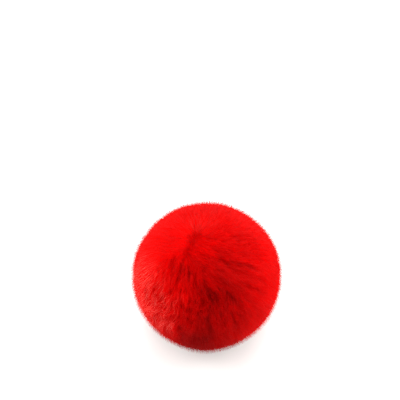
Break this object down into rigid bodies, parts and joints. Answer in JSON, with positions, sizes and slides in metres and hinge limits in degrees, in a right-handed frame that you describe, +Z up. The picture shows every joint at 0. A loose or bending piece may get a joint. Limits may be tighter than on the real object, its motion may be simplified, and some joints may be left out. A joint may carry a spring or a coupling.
{
  "type": "pom pom",
  "caption": "Round fur pom pom: deep red pile standing out all round from a hidden backing, in locks that lean away from a whorl near the top, with a small flat spot to rest on.",
  "frame": {"origin": "on the ground under the middle of the ball", "axes": "+Z up, from the flat spot towards the whorl; the front faces -Y; +X to the right as seen from the front"},
  "size_m": [0.0797, 0.0793, 0.0775],
  "materials": {
    "fur_pile": "dense soft fur pile in a clear warm red, darker between the locks, with a fine fuzz at the rim"
  },
  "bodies": {
    "root": {"fur_ball": "fur_pile"}
  },
  "joints": []
}
